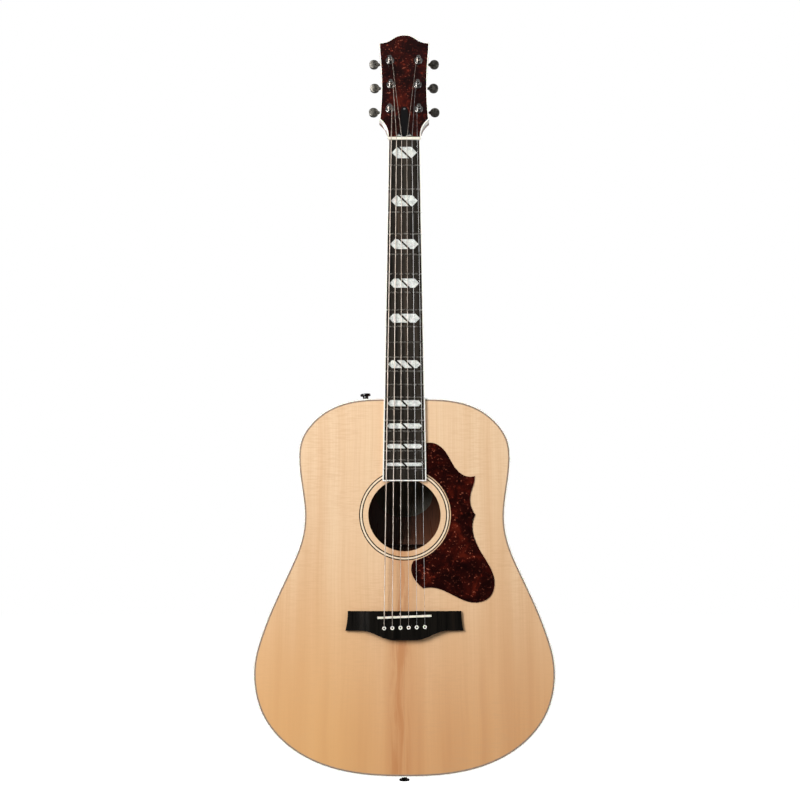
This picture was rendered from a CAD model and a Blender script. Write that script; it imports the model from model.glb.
"""Finish, fine detail, light and camera of the acoustic guitar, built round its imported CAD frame.

Metres throughout. +Z runs up the neck, -Y is the side that the strings are on, +X is the treble side.
"""

import math

import bmesh
import bpy
from mathutils import Matrix, Vector


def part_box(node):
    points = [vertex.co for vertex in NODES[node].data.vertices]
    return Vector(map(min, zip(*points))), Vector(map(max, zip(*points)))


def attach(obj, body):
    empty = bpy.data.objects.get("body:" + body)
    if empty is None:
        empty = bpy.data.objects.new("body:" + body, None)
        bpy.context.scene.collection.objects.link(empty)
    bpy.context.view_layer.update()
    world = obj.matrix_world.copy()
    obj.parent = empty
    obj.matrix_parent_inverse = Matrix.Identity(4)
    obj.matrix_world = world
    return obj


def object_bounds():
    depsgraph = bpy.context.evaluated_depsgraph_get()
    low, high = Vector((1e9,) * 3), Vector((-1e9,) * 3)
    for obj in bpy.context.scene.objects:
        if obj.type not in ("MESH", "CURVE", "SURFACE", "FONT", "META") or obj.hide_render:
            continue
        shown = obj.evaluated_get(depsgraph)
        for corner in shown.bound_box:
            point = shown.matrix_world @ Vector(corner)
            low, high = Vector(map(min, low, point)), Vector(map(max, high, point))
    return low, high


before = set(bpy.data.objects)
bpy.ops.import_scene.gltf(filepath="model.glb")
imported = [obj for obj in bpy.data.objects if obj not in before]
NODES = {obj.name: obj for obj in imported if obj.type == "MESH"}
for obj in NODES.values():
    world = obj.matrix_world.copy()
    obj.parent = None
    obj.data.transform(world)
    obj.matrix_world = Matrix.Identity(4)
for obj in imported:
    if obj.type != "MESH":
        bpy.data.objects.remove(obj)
CAD_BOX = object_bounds()
MM = 0.001
SAME_POINT = 0.002 * MM  # corners nearer to each other than this are one corner
STRINGS = range(1, 7)  # from the bass side, as the frame numbers them
WOUND_STRINGS = range(1, 5)
PLAIN_STRINGS = range(5, 7)
TO_BASS_SIDE = Vector((-1, 0, 0))
BACKWARDS = Vector((0, 1, 0))


# ---- Materials ------------------------------------------------------------------------------------
WHITE = (1.0, 1.0, 1.0)
MAHOGANY = ((0.125, 0.038, 0.016), (0.235, 0.083, 0.034))  # dark, light
NECK_MAHOGANY = ((0.135, 0.045, 0.020), (0.215, 0.082, 0.037))
BRACE_SPRUCE = ((0.42, 0.26, 0.13), (0.60, 0.41, 0.22))
BRONZE = ((0.48, 0.39, 0.32), (0.78, 0.70, 0.635))
STEEL = ((0.50, 0.50, 0.51), (0.80, 0.80, 0.81))
WRAP_PITCHES = (0.55 * MM, 0.48 * MM, 0.40 * MM, 0.32 * MM)  # of the wound strings, thickest first


class Paint:
    """One material and the few kinds of node that its pattern is made of.

    place is the point on the surface in the piece's own space, which at rest is the row frame.
    """

    def __init__(self, name, **sockets):
        self.material = bpy.data.materials.new(name)
        self.material.use_nodes = True
        self.tree = self.material.node_tree
        self.shader = self.tree.nodes["Principled BSDF"]
        for socket, value in sockets.items():
            self.shader.inputs[socket.replace("_", " ")].default_value = value
        self.place = self.node("ShaderNodeTexCoord").outputs["Object"]

    def node(self, kind, settings=None, **inputs):
        node = self.tree.nodes.new(kind)
        for name, value in (settings or {}).items():
            setattr(node, name, value)
        for name, value in inputs.items():
            self.put(node.inputs[name.replace("_", " ")], value)
        return node

    def put(self, socket, value):
        if isinstance(value, bpy.types.NodeSocket):
            self.tree.links.new(value, socket)
        else:
            socket.default_value = value

    def set(self, socket, value):
        self.put(self.shader.inputs[socket], value)

    def axes(self):
        split = self.node("ShaderNodeSeparateXYZ", Vector=self.place)
        return split.outputs["X"], split.outputs["Y"], split.outputs["Z"]

    def vector(self, x, y, z):
        return self.node("ShaderNodeCombineXYZ", X=x, Y=y, Z=z).outputs["Vector"]

    def scaled(self, x, y, z, vector=None):
        node = self.node("ShaderNodeVectorMath", {"operation": "MULTIPLY"})
        self.put(node.inputs[0], vector or self.place)
        node.inputs[1].default_value = (x, y, z)
        return node.outputs["Vector"]

    def maths(self, operation, *values):
        node = self.node("ShaderNodeMath", {"operation": operation})
        for socket, value in zip(node.inputs, values):
            self.put(socket, value)
        return node.outputs["Value"]

    def plus(self, first, second):
        return self.maths("ADD", first, second)

    def times(self, first, second):
        return self.maths("MULTIPLY", first, second)

    def wave(self, angle):
        """A sine, raised and scaled to run from 0 to 1."""
        return self.maths("MULTIPLY_ADD", self.maths("SINE", angle), 0.5, 0.5)

    def noise(self, vector, scale=1.0, detail=2.0, roughness=0.5, distortion=0.0):
        node = self.node("ShaderNodeTexNoise", Vector=vector, Scale=scale, Detail=detail,
                         Roughness=roughness, Distortion=distortion)
        return node.outputs["Fac"]

    def cells(self, vector, scale):
        node = self.node("ShaderNodeTexVoronoi", {"feature": "SMOOTH_F1"}, Vector=vector, Scale=scale)
        return node.outputs["Distance"]

    def range(self, value, low, high, to_low=0.0, to_high=1.0, kind="SMOOTHSTEP"):
        """From to_low where the value is low, to to_high where it is high, and level beyond both."""
        node = self.node("ShaderNodeMapRange", {"interpolation_type": kind}, Value=value)
        set_range(node, low, high, to_low, to_high)
        return node.outputs["Result"]

    def ramp(self, value, stops):
        node = self.node("ShaderNodeValToRGB", Fac=value)
        elements = node.color_ramp.elements
        while len(elements) < len(stops):
            elements.new(0.5)
        for element, (position, colour) in zip(elements, stops):
            element.position = position
            element.color = (*colour, 1.0)
        return node.outputs["Color"]

    def distance(self, u, v):
        return self.maths("SQRT", self.plus(self.times(u, u), self.times(v, v)))

    def mix(self, factor, first, second, mode="MIX"):
        node = self.node("ShaderNodeMix", {"data_type": "RGBA", "blend_type": mode})
        self.put(node.inputs["Factor"], factor)
        # The node has sockets of the same names for numbers and vectors too, so colours go by index.
        for socket, colour in ((node.inputs[6], first), (node.inputs[7], second)):
            self.put(socket, colour if isinstance(colour, bpy.types.NodeSocket) else (*colour, 1.0))
        return node.outputs[2]

    def bump(self, height, distance, strength=1.0):
        node = self.node("ShaderNodeBump", Height=height)
        node.inputs["Distance"].default_value = distance
        node.inputs["Strength"].default_value = strength
        self.set("Normal", node.outputs["Normal"])

    def vary_roughness(self, value, low, high):
        self.set("Roughness", self.range(value, 0.3, 0.7, low, high))


def set_range(node, low, high, to_low, to_high):
    for name, value in (("From Min", low), ("From Max", high), ("To Min", to_low), ("To Max", to_high)):
        node.inputs[name].default_value = value


def spruce():
    """Bookmatched quarter-sawn top: fine grain, cross silk, amber towards the tail and along its joint."""
    paint = Paint("spruce_top", Specular_IOR_Level=0.4, Coat_Weight=0.6, Coat_Roughness=0.08)
    x, _, z = paint.axes()
    off_centre = paint.maths("ABSOLUTE", x)
    wander = paint.noise(paint.scaled(5, 0, 5), 1.0, 2.0)
    across = paint.plus(off_centre, paint.times(wander, 12 * MM))

    def along_grain(width_scale, length_scale, seed, detail=2.0):
        """Noise at those scales across and along the grain. Another seed is another slice of it."""
        place = paint.vector(paint.times(across, width_scale), seed, paint.times(z, length_scale))
        return paint.noise(place, 1.0, detail, 0.6, 0.2)

    grain = along_grain(760, 6, 0.0)
    bands = along_grain(38, 1.6, 3.7, 3.0)
    silk = along_grain(60, 640, 1.3)
    patches = paint.noise(paint.scaled(14, 0, 9), 1.0, 3.0)
    lower = paint.range(z, 0.36, 0.02)  # 0 from the soundhole up, 1 near the tail
    pale = paint.ramp(bands, [(0.30, (0.70, 0.475, 0.285)), (0.5, (0.775, 0.555, 0.352)),
                              (0.70, (0.82, 0.61, 0.405))])
    honey = paint.ramp(bands, [(0.30, (0.585, 0.295, 0.125)), (0.5, (0.645, 0.345, 0.152)),
                               (0.70, (0.685, 0.385, 0.182))])
    base = paint.mix(lower, pale, honey)
    base = paint.mix(paint.range(grain, 0.38, 0.72, 0.0, 0.22), base, (0.54, 0.29, 0.14))
    wide = paint.range(along_grain(22, 0.8, 9.2, 2.0), 0.42, 0.62, 0.0, 0.26)
    base = paint.mix(wide, base, (0.62, 0.335, 0.155))
    silky = paint.times(paint.range(silk, 0.44, 0.64), paint.range(patches, 0.40, 0.60, 0.10, 0.27))
    base = paint.mix(silky, base, (0.56, 0.33, 0.17))
    golden = paint.times(lower, paint.range(x, 0.02, -0.12, 0.0, 0.42))
    base = paint.mix(golden, base, (0.76, 0.435, 0.165))
    near_joint = paint.range(off_centre, 6 * MM, 55 * MM, 0.30, 0.0)
    base = paint.mix(near_joint, base, (0.56, 0.27, 0.115))
    streak_across = paint.plus(paint.times(x, 110), paint.times(wander, 4))
    streak_place = paint.vector(streak_across, 8.1, paint.times(z, 9.0))
    streaks = paint.noise(streak_place, 1.0, 4.0, 0.65, 0.6)
    beside_joint = paint.maths("ABSOLUTE", paint.plus(x, 6 * MM))
    amber = paint.times(paint.range(beside_joint, 4 * MM, 20 * MM, 1.0, 0.0),
                        paint.range(streaks, 0.36, 0.64, 0.10, 0.70))
    base = paint.mix(amber, base, (0.48, 0.195, 0.072))
    joint = paint.range(off_centre, 0.1 * MM, 0.5 * MM, 0.12, 0.0)
    base = paint.mix(joint, base, (0.35, 0.17, 0.08))
    paint.set("Base Color", base)
    paint.vary_roughness(patches, 0.30, 0.38)
    paint.bump(grain, 0.01 * MM)
    return paint.material


def plain_wood(name, dark, light, grain_scale, roughness, coat, pores=0.5, mirrored=False):
    """Open-grained wood. grain_scale is the noise scale along X, Y and Z: small along the grain.

    Returns the Paint, so that more can be put on top.
    """
    paint = Paint(name, Coat_Weight=coat, Coat_Roughness=0.1)
    place = paint.place
    if mirrored:
        x, y, z = paint.axes()
        place = paint.vector(paint.maths("ABSOLUTE", x), y, z)
    sx, sy, sz = grain_scale
    figure = paint.noise(paint.scaled(sx * 0.12, sy * 0.12, sz * 0.3, place), 1.0, 4.0, 0.6, 0.6)
    fibre = paint.noise(paint.scaled(sx, sy, sz, place), 1.0, 3.0, 0.65)
    pore = paint.noise(paint.scaled(sx * 2.2, sy * 2.2, sz * 2.6, place), 1.0, 1.0)
    base = paint.ramp(figure, [(0.3, dark), (0.7, light)])
    deep = tuple(c * 0.45 for c in dark)
    base = paint.mix(paint.range(fibre, 0.42, 0.72, 0.0, 0.45), base, deep)
    base = paint.mix(paint.range(pore, 0.62, 0.74, 0.0, pores), base, tuple(c * 0.5 for c in deep))
    paint.set("Base Color", base)
    paint.vary_roughness(figure, roughness * 0.85, roughness * 1.15)
    paint.bump(pore, 0.04 * MM, 0.6)
    return paint


def back_wood():
    """Bookmatched back with a thin inlaid line along its joint."""
    line_half_width = 1.8 * MM
    line_blur = 0.1 * MM
    chevrons = 2100  # radians of their pattern per metre
    paint = plain_wood("mahogany_back", *MAHOGANY, (320, 320, 7), 0.3, 0.8, mirrored=True)
    base = paint.shader.inputs["Base Color"].links[0].from_socket
    x, _, z = paint.axes()
    off_centre = paint.maths("ABSOLUTE", x)
    line = paint.range(off_centre, line_half_width - line_blur, line_half_width + line_blur, 1.0, 0.0)
    chevron = paint.wave(paint.times(paint.plus(z, off_centre), chevrons))
    inlay = paint.ramp(chevron, [(0.35, (0.05, 0.02, 0.012)), (0.65, (0.62, 0.42, 0.2))])
    paint.set("Base Color", paint.mix(line, base, inlay))
    return paint.material


def ebony(name, lightness):
    """Near-black wood with faint brown streaks and fine open pores."""
    paint = Paint(name, Specular_IOR_Level=0.14)
    streak = paint.noise(paint.scaled(150, 150, 5), 1.0, 3.0, 0.6, 0.5)
    pore = paint.noise(paint.scaled(1400, 1400, 60), 1.0, 1.0)
    tones = [(0.35, (0.0085, 0.0075, 0.0065)), (0.62, (0.020, 0.0165, 0.013)),
             (0.85, (0.045, 0.029, 0.019))]
    base = paint.ramp(streak, [(at, tuple(lightness * c for c in tone)) for at, tone in tones])
    base = paint.mix(paint.range(pore, 0.6, 0.72, 0.0, 0.7), base, (0.001, 0.001, 0.001))
    paint.set("Base Color", base)
    paint.vary_roughness(streak, 0.19, 0.26)
    paint.bump(pore, 0.02 * MM, 0.5)
    return paint.material


def tortoise(name, glow, spread):
    """Celluloid tortoiseshell: near-black red, cloudy patches and small flecks.

    It is warmer round the glow, a point given by X and Z, out to the spread along each.
    """
    paint = Paint(name, Roughness=0.12, Specular_IOR_Level=0.16, Coat_Weight=0.05, Coat_Roughness=0.04)
    x, _, z = paint.axes()
    away = paint.distance(paint.maths("DIVIDE", paint.maths("SUBTRACT", x, glow[0]), spread[0]),
                          paint.maths("DIVIDE", paint.maths("SUBTRACT", z, glow[1]), spread[1]))
    warmth = paint.range(away, 0.2, 1.1, 1.0, 0.0)
    cloud = paint.plus(paint.noise(paint.place, 42.0, 4.0, 0.6, 0.9), paint.times(warmth, 0.15))
    fleck = paint.noise(paint.place, 230.0, 3.0, 0.6, 0.4)
    spark = paint.noise(paint.scaled(1, 1, 1.3), 300.0, 2.0, 0.5, 0.3)
    base = paint.ramp(cloud, [(0.30, (0.0050, 0.0008, 0.0008)), (0.50, (0.014, 0.0018, 0.0014)),
                              (0.62, (0.030, 0.0030, 0.0018)), (0.78, (0.085, 0.0095, 0.004))])
    open_cloud = paint.range(cloud, 0.40, 0.66, 0.15, 0.9)
    red = paint.times(paint.range(fleck, 0.58, 0.70), open_cloud)
    base = paint.mix(red, base, (0.15, 0.020, 0.010))
    orange = paint.times(paint.range(spark, 0.64, 0.72), open_cloud)
    base = paint.mix(orange, base, (0.42, 0.12, 0.07))
    paint.set("Base Color", base)
    return paint.material


def cream(name, colour, roughness=0.28, mottle=0.06):
    """Ivoroid, bone and white binding: nearly even, with faint clouding and soft depth."""
    paint = Paint(name, Subsurface_Weight=0.08, Subsurface_Scale=2 * MM, Coat_Weight=0.3,
                  Coat_Roughness=0.12)
    cloud = paint.noise(paint.scaled(120, 120, 40), 1.0, 3.0, 0.6)
    shade = tuple(c * (1 - mottle * 2.5) * tint for c, tint in zip(colour, (1.0, 0.985, 0.94)))
    paint.set("Base Color", paint.ramp(cloud, [(0.3, shade), (0.7, colour)]))
    paint.vary_roughness(cloud, roughness * 0.8, roughness * 1.2)
    return paint.material


def pearl():
    """Mother-of-pearl cut across its layers: pale cells with grey seams and a faint tint."""
    paint = Paint("pearl", Roughness=0.2, Coat_Weight=0.6, Coat_Roughness=0.05)
    warp = 6 * MM
    push = paint.node("ShaderNodeTexNoise", Vector=paint.place, Scale=160.0, Detail=3.0)
    warped = paint.node("ShaderNodeVectorMath", {"operation": "ADD"})
    paint.put(warped.inputs[0], paint.place)
    paint.put(warped.inputs[1], paint.scaled(warp, warp, warp, push.outputs["Color"]))
    layers = paint.noise(warped.outputs["Vector"], 330.0, 4.0, 0.6, 1.4)
    cell = paint.cells(warped.outputs["Vector"], 210.0)
    base = paint.ramp(layers, [(0.30, (0.36, 0.37, 0.37)), (0.46, (0.63, 0.64, 0.63)),
                               (0.60, (0.86, 0.86, 0.84)), (0.75, (0.93, 0.91, 0.88))])
    tint = paint.ramp(cell, [(0.15, (0.95, 0.88, 0.88)), (0.45, (0.88, 0.95, 0.93)),
                             (0.75, (0.97, 0.97, 0.90))])
    paint.set("Base Color", paint.mix(0.8, base, tint, "MULTIPLY"))
    paint.bump(layers, 0.03 * MM, 0.4)
    return paint.material


def metal(name, dull, bright, roughness, scale=260.0, stretch=(1, 1, 1), scratch=0.01 * MM):
    """Plated or drawn metal with handling marks in its colour and roughness, and scratches that deep."""
    paint = Paint(name, Metallic=1.0)
    smudge = paint.noise(paint.scaled(*stretch), scale, 4.0, 0.65)
    fine = paint.noise(paint.scaled(*stretch), scale * 6, 2.0, 0.6)
    paint.set("Base Color", paint.ramp(smudge, [(0.3, dull), (0.7, bright)]))
    paint.vary_roughness(smudge, roughness * 0.7, roughness * 1.4)
    paint.bump(fine, scratch, 0.5)
    return paint.material


def corners(obj):
    """A piece's vertices, in the row frame."""
    return [obj.matrix_world @ v.co for v in obj.data.vertices]


def board_halves():
    """The bound fingerboard as (end height, nut height, half width at the end, half width at the nut)."""
    node = NODES["fingerboard_binding"]
    low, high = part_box(node.name)
    points = corners(node)
    return (low.z, high.z, max(p.x for p in points if p.z < low.z + 4 * MM),
            max(p.x for p in points if p.z > high.z - 2 * MM))


def fret_metal():
    """Nickel silver, tarnished along the frets and bright at their bevelled ends, over the binding."""
    end_from, end_to = 1.4 * MM, 2.2 * MM  # in from the board's edge
    paint = Paint("fret_nickel")
    x, _, z = paint.axes()
    half = paint.range(z, *board_halves(), kind="LINEAR")
    inside = paint.maths("SUBTRACT", half, paint.maths("ABSOLUTE", x))
    at_end = paint.range(inside, end_from, end_to, 1.0, 0.0)
    smudge = paint.noise(paint.place, 260.0, 4.0, 0.65)
    base = paint.ramp(smudge, [(0.3, (0.20, 0.185, 0.16)), (0.7, (0.36, 0.34, 0.30))])
    paint.set("Base Color", paint.mix(at_end, base, (0.93, 0.92, 0.90)))
    paint.set("Metallic", paint.range(inside, end_from, end_to, 0.15, 1.0))
    paint.vary_roughness(smudge, 0.22, 0.34)
    return paint.material


def wound(name, dull, bright, pitch):
    """Wire wrapped round a core: fine rings across the string."""
    paint = Paint(name, Metallic=1.0)
    _, _, z = paint.axes()
    level = paint.wave(paint.times(z, 2 * math.pi / pitch))
    tone = paint.noise(paint.scaled(900, 900, 60), 1.0, 2.0)
    grooves = paint.range(level, 0.0, 0.55, 0.55, 0.0)
    base = paint.mix(grooves, paint.ramp(tone, [(0.3, dull), (0.7, bright)]),
                     tuple(c * 0.35 for c in dull))
    paint.set("Base Color", base)
    paint.vary_roughness(tone, 0.30, 0.42)
    paint.bump(level, pitch * 0.15, 0.5)
    return paint.material


def plastic(name, colour, roughness):
    """Plain plastic or fibre in one colour, faintly clouded."""
    paint = Paint(name, Specular_IOR_Level=0.15)
    cloud = paint.noise(paint.place, 300.0, 4.0, 0.65)
    shade = tuple(c * 0.85 for c in colour)
    paint.set("Base Color", paint.ramp(cloud, [(0.3, shade), (0.7, colour)]))
    paint.vary_roughness(cloud, roughness * 0.85, roughness * 1.2)
    paint.bump(cloud, 0.01 * MM, 0.4)
    return paint.material


def paper():
    """Blank oval label: matt fibres, a little yellowed."""
    paint = Paint("blank_paper", Roughness=0.9, Specular_IOR_Level=0.2)
    fibres = paint.noise(paint.scaled(600, 600, 600), 1.0, 4.0, 0.7)
    stain = paint.noise(paint.scaled(40, 40, 40), 1.0, 2.0)
    base = paint.ramp(fibres, [(0.3, (0.20, 0.19, 0.155)), (0.7, (0.26, 0.25, 0.21))])
    paint.set("Base Color", paint.mix(paint.range(stain, 0.4, 0.7, 0.0, 0.4), base, (0.18, 0.15, 0.10)))
    paint.bump(fibres, 0.04 * MM)
    return paint.material


def floor_material():
    """Pale paper that glows, so that it looks nearly as white as the backdrop."""
    paint = Paint("studio_floor", Roughness=0.9, Specular_IOR_Level=0.1, Emission_Color=(*WHITE, 1.0),
                  Emission_Strength=0.74)
    grain = paint.noise(paint.place, 30.0, 3.0)
    paint.set("Base Color", paint.ramp(grain, [(0.3, (0.90, 0.90, 0.90)), (0.7, (0.93, 0.93, 0.93))]))
    return paint.material


def string_materials():
    """Pairs of a material and the strings and windings that have it."""
    for index, pitch in zip(WOUND_STRINGS, WRAP_PITCHES):
        yield wound(f"bronze_wound_{index}", *BRONZE, pitch), [f"string_{index}"]
    yield metal("bronze_turns", *BRONZE, 0.25, 500.0), [f"string_winding_{i}" for i in WOUND_STRINGS]
    plain = metal("plain_steel", *STEEL, 0.34, 500.0, (1, 1, 0.1), 0.0005 * MM)
    yield plain, [f"{part}_{i}" for i in PLAIN_STRINGS for part in ("string", "string_winding")]


def make_materials():
    """Give every CAD node its finish. Returns the white and the black one, which added pieces share."""
    white = cream("white_binding", (0.93, 0.915, 0.88), mottle=0.02)
    sides = plain_wood("mahogany_sides", *MAHOGANY, (7, 360, 7), 0.3, 0.8)
    neck = plain_wood("mahogany_neck", *NECK_MAHOGANY, (330, 330, 9), 0.42, 0.25)
    inside = plain_wood("inner_spruce", *BRACE_SPRUCE, (420, 420, 9), 0.7, 0.0, 0.2)
    chrome = metal("chrome", (0.20, 0.195, 0.19), (0.40, 0.39, 0.375), 0.13)
    pewter = metal("aged_nickel", (0.075, 0.070, 0.062), (0.20, 0.19, 0.17), 0.34, 380.0)
    screw = metal("screw_steel", (0.42, 0.42, 0.43), (0.72, 0.72, 0.73), 0.26)
    black = plastic("black_plastic", (0.006, 0.006, 0.0065), 0.16)
    buttons = metal("black_nickel", (0.015, 0.015, 0.016), (0.075, 0.075, 0.075), 0.2)
    finishes = {  # each material with the nodes that it is put on
        spruce(): ["soundboard"],
        back_wood(): ["back"],
        sides.material: ["side_bass", "side_treble"],
        neck.material: ["neck", "neck_block", "tail_block", "back_braces"],
        inside.material: ["top_braces", "bridge_plate", "linings"],
        ebony("fingerboard_ebony", 1.6): ["fingerboard"],
        ebony("bridge_ebony", 0.35): ["bridge"],
        white: ["top_binding", "back_binding", "fingerboard_binding", "headstock_binding"],
        plastic("dark_purfling", (0.15, 0.10, 0.072), 0.3): ["top_purfling"],
        cream("bone", (0.86, 0.82, 0.72), 0.22): ["nut", "saddle"],
        cream("pin_cream", (0.93, 0.91, 0.84), 0.18, 0.02): ["bridge_pins"],
        tortoise("pickguard_tortoise", (0.072, 0.325), (0.016, 0.045)): ["pickguard"],
        tortoise("headstock_tortoise", (0.0, 0.934), (0.016, 0.028)): ["headstock_overlay"],
        pearl(): ["position_inlays"],
        fret_metal(): ["frets"],
        black: ["truss_rod_cover", "heel_cap"],
        chrome: ["tuner_bushings"] + [f"string_post_{i}" for i in STRINGS],
        pewter: ["tuner_housings"] + [f"tuner_key_{i}" for i in STRINGS],
        buttons: ["tail_strap_button", "shoulder_strap_button"],
        screw: ["truss_rod", "neck_bolts", "wood_screws"],
        paper(): ["label"],
        rosette_rings(): ["rosette"],
        **dict(string_materials()),
    }
    for material, nodes in finishes.items():
        for node in nodes:
            NODES[node].data.materials.clear()
            NODES[node].data.materials.append(material)
    return white, black


def brown_line():
    """Brown fibre of the thin purfling line."""
    paint = Paint("purfling_brown", Roughness=0.35, Specular_IOR_Level=0.3)
    tone = paint.noise(paint.scaled(300, 300, 300), 1.0, 3.0)
    paint.set("Base Color", paint.ramp(tone, [(0.3, (0.30, 0.205, 0.145)), (0.7, (0.40, 0.29, 0.21))]))
    return paint.material


def rosette_rings():
    """Cream ring between two dark ones, told apart by the distance from the hole's centre."""
    dark_width, cream_width, blur = 1.45 * MM, 2.25 * MM, 0.01 * MM
    paint = Paint("rosette_rings", Roughness=0.3, Specular_IOR_Level=0.2, Coat_Weight=0.1,
                  Coat_Roughness=0.06)
    low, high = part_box("rosette")
    hole_z = (low.z + high.z) / 2
    cream_outer = max(math.hypot(p.x, p.z - hole_z) for p in corners(NODES["rosette"])) - dark_width
    cream_inner = cream_outer - cream_width
    x, _, z = paint.axes()
    radius = paint.distance(x, paint.maths("SUBTRACT", z, hole_z))
    ring = paint.times(paint.range(radius, cream_inner - blur, cream_inner),
                       paint.range(radius, cream_outer - blur, cream_outer, 1.0, 0.0))
    tone = paint.noise(paint.scaled(200, 200, 200), 1.0, 3.0)
    dark = paint.ramp(tone, [(0.3, (0.020, 0.008, 0.004)), (0.7, (0.040, 0.017, 0.009))])
    light = paint.ramp(tone, [(0.3, (0.74, 0.60, 0.43)), (0.7, (0.84, 0.71, 0.54))])
    paint.set("Base Color", paint.mix(ring, dark, light))
    return paint.material


# ---- Soft edges on the CAD pieces -----------------------------------------------------------------
SOFT_EDGES_MM = {"bridge": 0.5, "nut": 0.25, "saddle": 0.4, "pickguard": 0.35, "heel_cap": 0.3,
                 "headstock_overlay": 0.3, "fingerboard": 0.2, "soundboard": 0.45, "truss_rod_cover": 0.4}
SHARP_DEG = 38.0  # only edges that turn by more than this are softened


def soften_edges():
    """Round the sharp edges of some CAD pieces a little, as wear and polish do."""
    for node, width in SOFT_EDGES_MM.items():
        obj = NODES[node]
        weld = obj.modifiers.new("weld", "WELD")
        weld.merge_threshold = SAME_POINT
        bevel = obj.modifiers.new("soft_edges", "BEVEL")
        bevel.width = width * MM
        bevel.segments = 2
        bevel.limit_method = "ANGLE"
        bevel.angle_limit = math.radians(SHARP_DEG)
        obj.modifiers.new("even_shading", "WEIGHTED_NORMAL")


# ---- Fine detail ----------------------------------------------------------------------------------
MARKED_FRETS = (3, 5, 7, 9, 12, 15, 17, 19)
OCTAVE_FRET = 12  # has two dots


def welded(node):
    """A copy of a node's mesh in the row frame, with each corner's vertices joined."""
    mesh = bmesh.new()
    mesh.from_mesh(NODES[node].data)
    mesh.transform(NODES[node].matrix_world)
    bmesh.ops.remove_doubles(mesh, verts=mesh.verts, dist=SAME_POINT)
    return mesh


def islands(node):
    """The boxes of a node's separate solids, as (low, high) pairs."""
    mesh = welded(node)
    seen, boxes = set(), []
    for first in mesh.verts:
        if first in seen:
            continue
        seen.add(first)
        queue, points = [first], []
        while queue:
            vert = queue.pop()
            points.append(vert.co.copy())
            others = {edge.other_vert(vert) for edge in vert.link_edges} - seen
            seen |= others
            queue += others
        boxes.append([Vector([pick(p[i] for p in points) for i in range(3)]) for pick in (min, max)])
    mesh.free()
    return boxes


def towards(place, direction):
    """The matrix that puts a shape at the place with its Z along the direction."""
    return Matrix.Translation(place) @ direction.to_track_quat("Z", "Y").to_matrix().to_4x4()


def add_bar(mesh, start, end, radius, segments):
    """Add a round bar between two points to the mesh."""
    bmesh.ops.create_cone(mesh, cap_ends=True, segments=segments, radius1=radius, radius2=radius,
                          depth=(end - start).length, matrix=towards((start + end) / 2, end - start))


def add_dome(mesh, centre, radius, height, facing):
    """Add a flattened ball to the mesh. With its lower half sunk in a surface it shows as a low dome."""
    shape = towards(centre, facing) @ Matrix.Diagonal((radius, radius, height, 1))
    bmesh.ops.create_uvsphere(mesh, u_segments=24, v_segments=12, radius=1, matrix=shape)


def add_piece(name, mesh, material, smooth=True, body="root"):
    """Turn the mesh into a new piece of the object, which moves with that body."""
    data = bpy.data.meshes.new(name)
    mesh.to_mesh(data)
    mesh.free()
    for polygon in data.polygons:
        polygon.use_smooth = smooth
    data.materials.append(material)
    obj = bpy.data.objects.new(name, data)
    bpy.context.scene.collection.objects.link(obj)
    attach(obj, body)


def make_cover_edge(material):
    """The pale ply that shows along the two slopes at the foot of the truss rod cover."""
    foot_height, radius = 1.2 * MM, 0.4 * MM
    low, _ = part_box("truss_rod_cover")
    front = min(p.y for p in corners(NODES["truss_rod_cover"]) if p.z < low.z + foot_height)
    mesh = bmesh.new()
    for side in (-1, 1):
        inner = Vector((side * 2.5 * MM, front + 0.3 * MM, low.z + 0.8 * MM))
        outer = Vector((side * 9.8 * MM, front + 0.6 * MM, low.z + 2.1 * MM))
        add_bar(mesh, inner, outer, radius, 12)
    add_piece("cover_edge", mesh, material)


def outline(node):
    """The widest sharp-edged loop of a node's flat front face, as points in order."""
    rim_angle, flatness = 0.6, 0.01 * MM
    mesh = welded(node)
    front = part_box(node)[0].y + flatness
    rim = [e for e in mesh.edges if len(e.link_faces) == 2 and all(v.co.y < front for v in e.verts)
           and e.calc_face_angle() > rim_angle]
    beside = {}
    for edge in rim:
        for vert in edge.verts:
            beside.setdefault(vert, []).append(edge.other_vert(vert))
    loops, seen = [], set()
    for start in sorted(beside, key=lambda v: v.index):
        loop, vert = [], start
        while vert is not None and vert not in seen:
            seen.add(vert)
            loop.append(vert.co.copy())
            vert = next((other for other in beside[vert] if other not in seen), None)
        if len(loop) > 2:
            loops.append(loop)
    mesh.free()
    return max(loops, key=lambda loop: max(p.x for p in loop) - min(p.x for p in loop))


def make_purfling_line(material):
    """A thin brown line let into the soundboard, all round inside its dark purfling."""
    outer, inner, sunk, proud = 0.05 * MM, 1.2 * MM, 0.35 * MM, 0.03 * MM
    loop = outline("soundboard")
    count = len(loop)
    area = sum(a.x * b.z - b.x * a.z for a, b in zip(loop, loop[1:] + loop[:1]))
    inward = []
    for index, point in enumerate(loop):
        before = (point - loop[index - 1]).normalized()
        after = (loop[(index + 1) % count] - point).normalized()
        along = (before + after).normalized()
        inward.append(Vector((-along.z, 0, along.x)) * math.copysign(1, area))
    mesh = bmesh.new()
    rings = [[mesh.verts.new(point + step * offset + BACKWARDS * depth)
              for point, step in zip(loop, inward)]
             for offset, depth in ((outer, sunk), (outer, -proud), (inner, -proud), (inner, sunk))]
    for one, other in zip(rings, rings[1:] + rings[:1]):
        for index in range(count):
            following = (index + 1) % count
            mesh.faces.new((one[index], one[following], other[following], other[index]))
    bmesh.ops.recalc_face_normals(mesh, faces=mesh.faces)
    add_piece("purfling_line", mesh, material, smooth=False)


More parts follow.
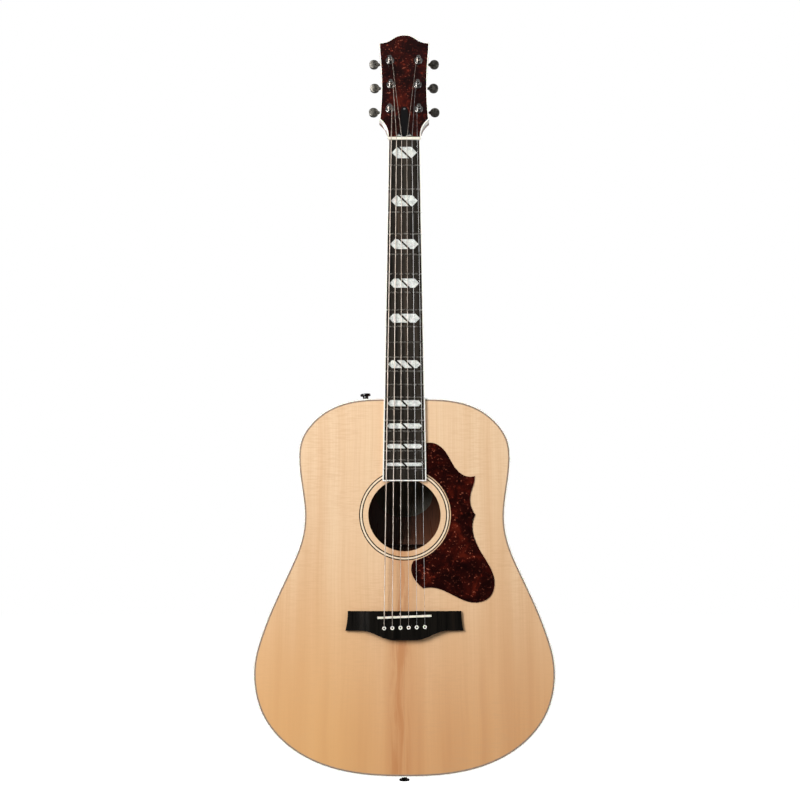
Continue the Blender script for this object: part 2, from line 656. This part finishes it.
def make_pin_dots(material):
    """The dark centre of each bridge pin's head."""
    radius, height, sunk = 1.25 * MM, 0.35 * MM, 0.1 * MM
    mesh = bmesh.new()
    for low, high in islands("bridge_pins"):
        centre = Vector(((low.x + high.x) / 2, low.y + sunk, (low.z + high.z) / 2))
        add_dome(mesh, centre, radius, height, -BACKWARDS)
    add_piece("pin_dots", mesh, material)


def fret_heights():
    """Height of each fret, from the nut down, with the nut's edge first."""
    frets = sorted(((low.z + high.z) / 2 for low, high in islands("frets")), reverse=True)
    return [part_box("nut")[0].z] + frets


def make_side_dots(material):
    """Position dots along the bass edge of the fingerboard."""
    radius, height, octave_shift, share_down = 0.9 * MM, 0.12 * MM, 2.5 * MM, 0.45
    heights = fret_heights()
    bottom, top, end_half, nut_half = board_halves()
    low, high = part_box("fingerboard_binding")
    y = low.y + share_down * (high.y - low.y)
    mesh = bmesh.new()
    for fret in MARKED_FRETS:
        z = (heights[fret - 1] + heights[fret]) / 2
        half = end_half + (nut_half - end_half) * (z - bottom) / (top - bottom)
        for shift in (-octave_shift, octave_shift) if fret == OCTAVE_FRET else (0,):
            add_dome(mesh, Vector((-half, y, z + shift)), radius, height, TO_BASS_SIDE)
    add_piece("side_dots", mesh, material)


def make_string_leads():
    """The last few millimetres of each string, up to the turns on its post."""
    length, overlap = 3.2 * MM, 0.1 * MM
    ring_depth, last_stretch = 0.5 * MM, 3 * MM
    for index in STRINGS:
        string = NODES[f"string_{index}"]
        points = corners(string)
        top = max(p.z for p in points)
        last = [p for p in points if p.z > top - ring_depth]
        before_top = max(p.z for p in points if p.z < top - last_stretch)
        before = [p for p in points if abs(p.z - before_top) < ring_depth]
        end = sum(last, Vector()) / len(last)
        along = (end - sum(before, Vector()) / len(before)).normalized()
        radius = (max(p.x for p in last) - min(p.x for p in last)) / 2
        start = end - along * overlap
        mesh = bmesh.new()
        add_bar(mesh, start, start + along * length, radius, 20)
        add_piece(f"string_lead_{index}", mesh, string.data.materials[0])


# ---- Camera, light and floor ----------------------------------------------------------------------
FILL = 0.32  # strength of the dim light from all round
FRONT_FILL = 0.05  # what is left of it in front, where the black woods would mirror it
FRONT, FRONT_EDGE = -0.98, -0.60  # Y of the direction at which it is weakest, and at which it is full
FLOOR_DROP = 0.25  # from the object's lowest point down to the floor


def make_camera():
    """The photograph's view: from in front of the lower bout, tilted up a little."""
    camera = bpy.data.objects.new("camera", bpy.data.cameras.new("camera"))
    bpy.context.scene.collection.objects.link(camera)
    camera.data.lens = 58.5
    camera.data.sensor_width = 36.0
    camera.location = (-0.0059, -1.787, 0.2454)
    camera.rotation_euler = (math.radians(98.51), 0, 0)
    bpy.context.scene.camera = camera


def area_light(name, place, target, size, power, colour=WHITE):
    light = bpy.data.lights.new(name, "AREA")
    light.shape = "RECTANGLE"
    light.size, light.size_y = size
    light.energy = power
    light.color = colour
    obj = bpy.data.objects.new(name, light)
    obj.location = place
    obj.rotation_euler = (Vector(target) - Vector(place)).to_track_quat("-Z", "Y").to_euler()
    bpy.context.scene.collection.objects.link(obj)


def make_world():
    """Seen directly the studio is white. As a light it is a dim fill, darkest in front."""
    world = bpy.data.worlds.new("studio")
    world.use_nodes = True
    nodes, links = world.node_tree.nodes, world.node_tree.links
    split = nodes.new("ShaderNodeSeparateXYZ")
    links.new(nodes.new("ShaderNodeTexCoord").outputs["Generated"], split.inputs["Vector"])
    strength = nodes.new("ShaderNodeMapRange")
    links.new(split.outputs["Y"], strength.inputs["Value"])
    set_range(strength, FRONT, FRONT_EDGE, FRONT_FILL, FILL)
    fill = nodes["Background"]
    fill.inputs["Color"].default_value = (1.0, 0.99, 0.98, 1.0)
    links.new(strength.outputs["Result"], fill.inputs["Strength"])
    backdrop = nodes.new("ShaderNodeBackground")
    backdrop.inputs["Color"].default_value = (*WHITE, 1.0)
    choice = nodes.new("ShaderNodeMixShader")
    links.new(nodes.new("ShaderNodeLightPath").outputs["Is Camera Ray"], choice.inputs["Fac"])
    links.new(fill.outputs["Background"], choice.inputs[1])
    links.new(backdrop.outputs["Background"], choice.inputs[2])
    links.new(choice.outputs["Shader"], nodes["World Output"].inputs["Surface"])
    bpy.context.scene.world = world


def make_floor():
    """A pale floor well below the guitar, which hangs in the air as it does in the photograph.

    Only the camera sees it: it isn't mirrored in the finishes and throws no light on them.
    """
    reach = 30.0
    mesh = bpy.data.meshes.new("floor")
    sheet = [(-reach, -reach, 0), (reach, -reach, 0), (reach, reach, 0), (-reach, reach, 0)]
    mesh.from_pydata(sheet, [], [(0, 1, 2, 3)])
    floor = bpy.data.objects.new("floor", mesh)
    floor.location.z = CAD_BOX[0].z - FLOOR_DROP
    floor.visible_diffuse = False
    floor.visible_glossy = False
    mesh.materials.append(floor_material())
    bpy.context.scene.collection.objects.link(floor)


def make_studio():
    """White backdrop and floor, a key light from the front left, and three weaker ones."""
    bpy.context.scene.view_settings.view_transform = "Standard"
    make_world()
    make_floor()
    centre = (CAD_BOX[0] + CAD_BOX[1]) / 2
    area_light("key", (-1.3, -1.95, 1.15), centre, (1.0, 1.4), 70.0, (1.0, 0.985, 0.96))
    area_light("fill", (1.9, -1.5, 1.0), centre, (1.0, 1.6), 13.0, (0.93, 0.97, 1.0))
    area_light("back_left", (-1.6, 1.9, 1.6), centre, (1.2, 1.4), 34.0)
    area_light("back_right", (1.8, 1.6, 0.9), centre, (1.0, 1.6), 16.0)


make_camera()
make_studio()
white, black = make_materials()
soften_edges()
make_cover_edge(white)
make_purfling_line(brown_line())
make_pin_dots(black)
make_side_dots(black)
make_string_leads()
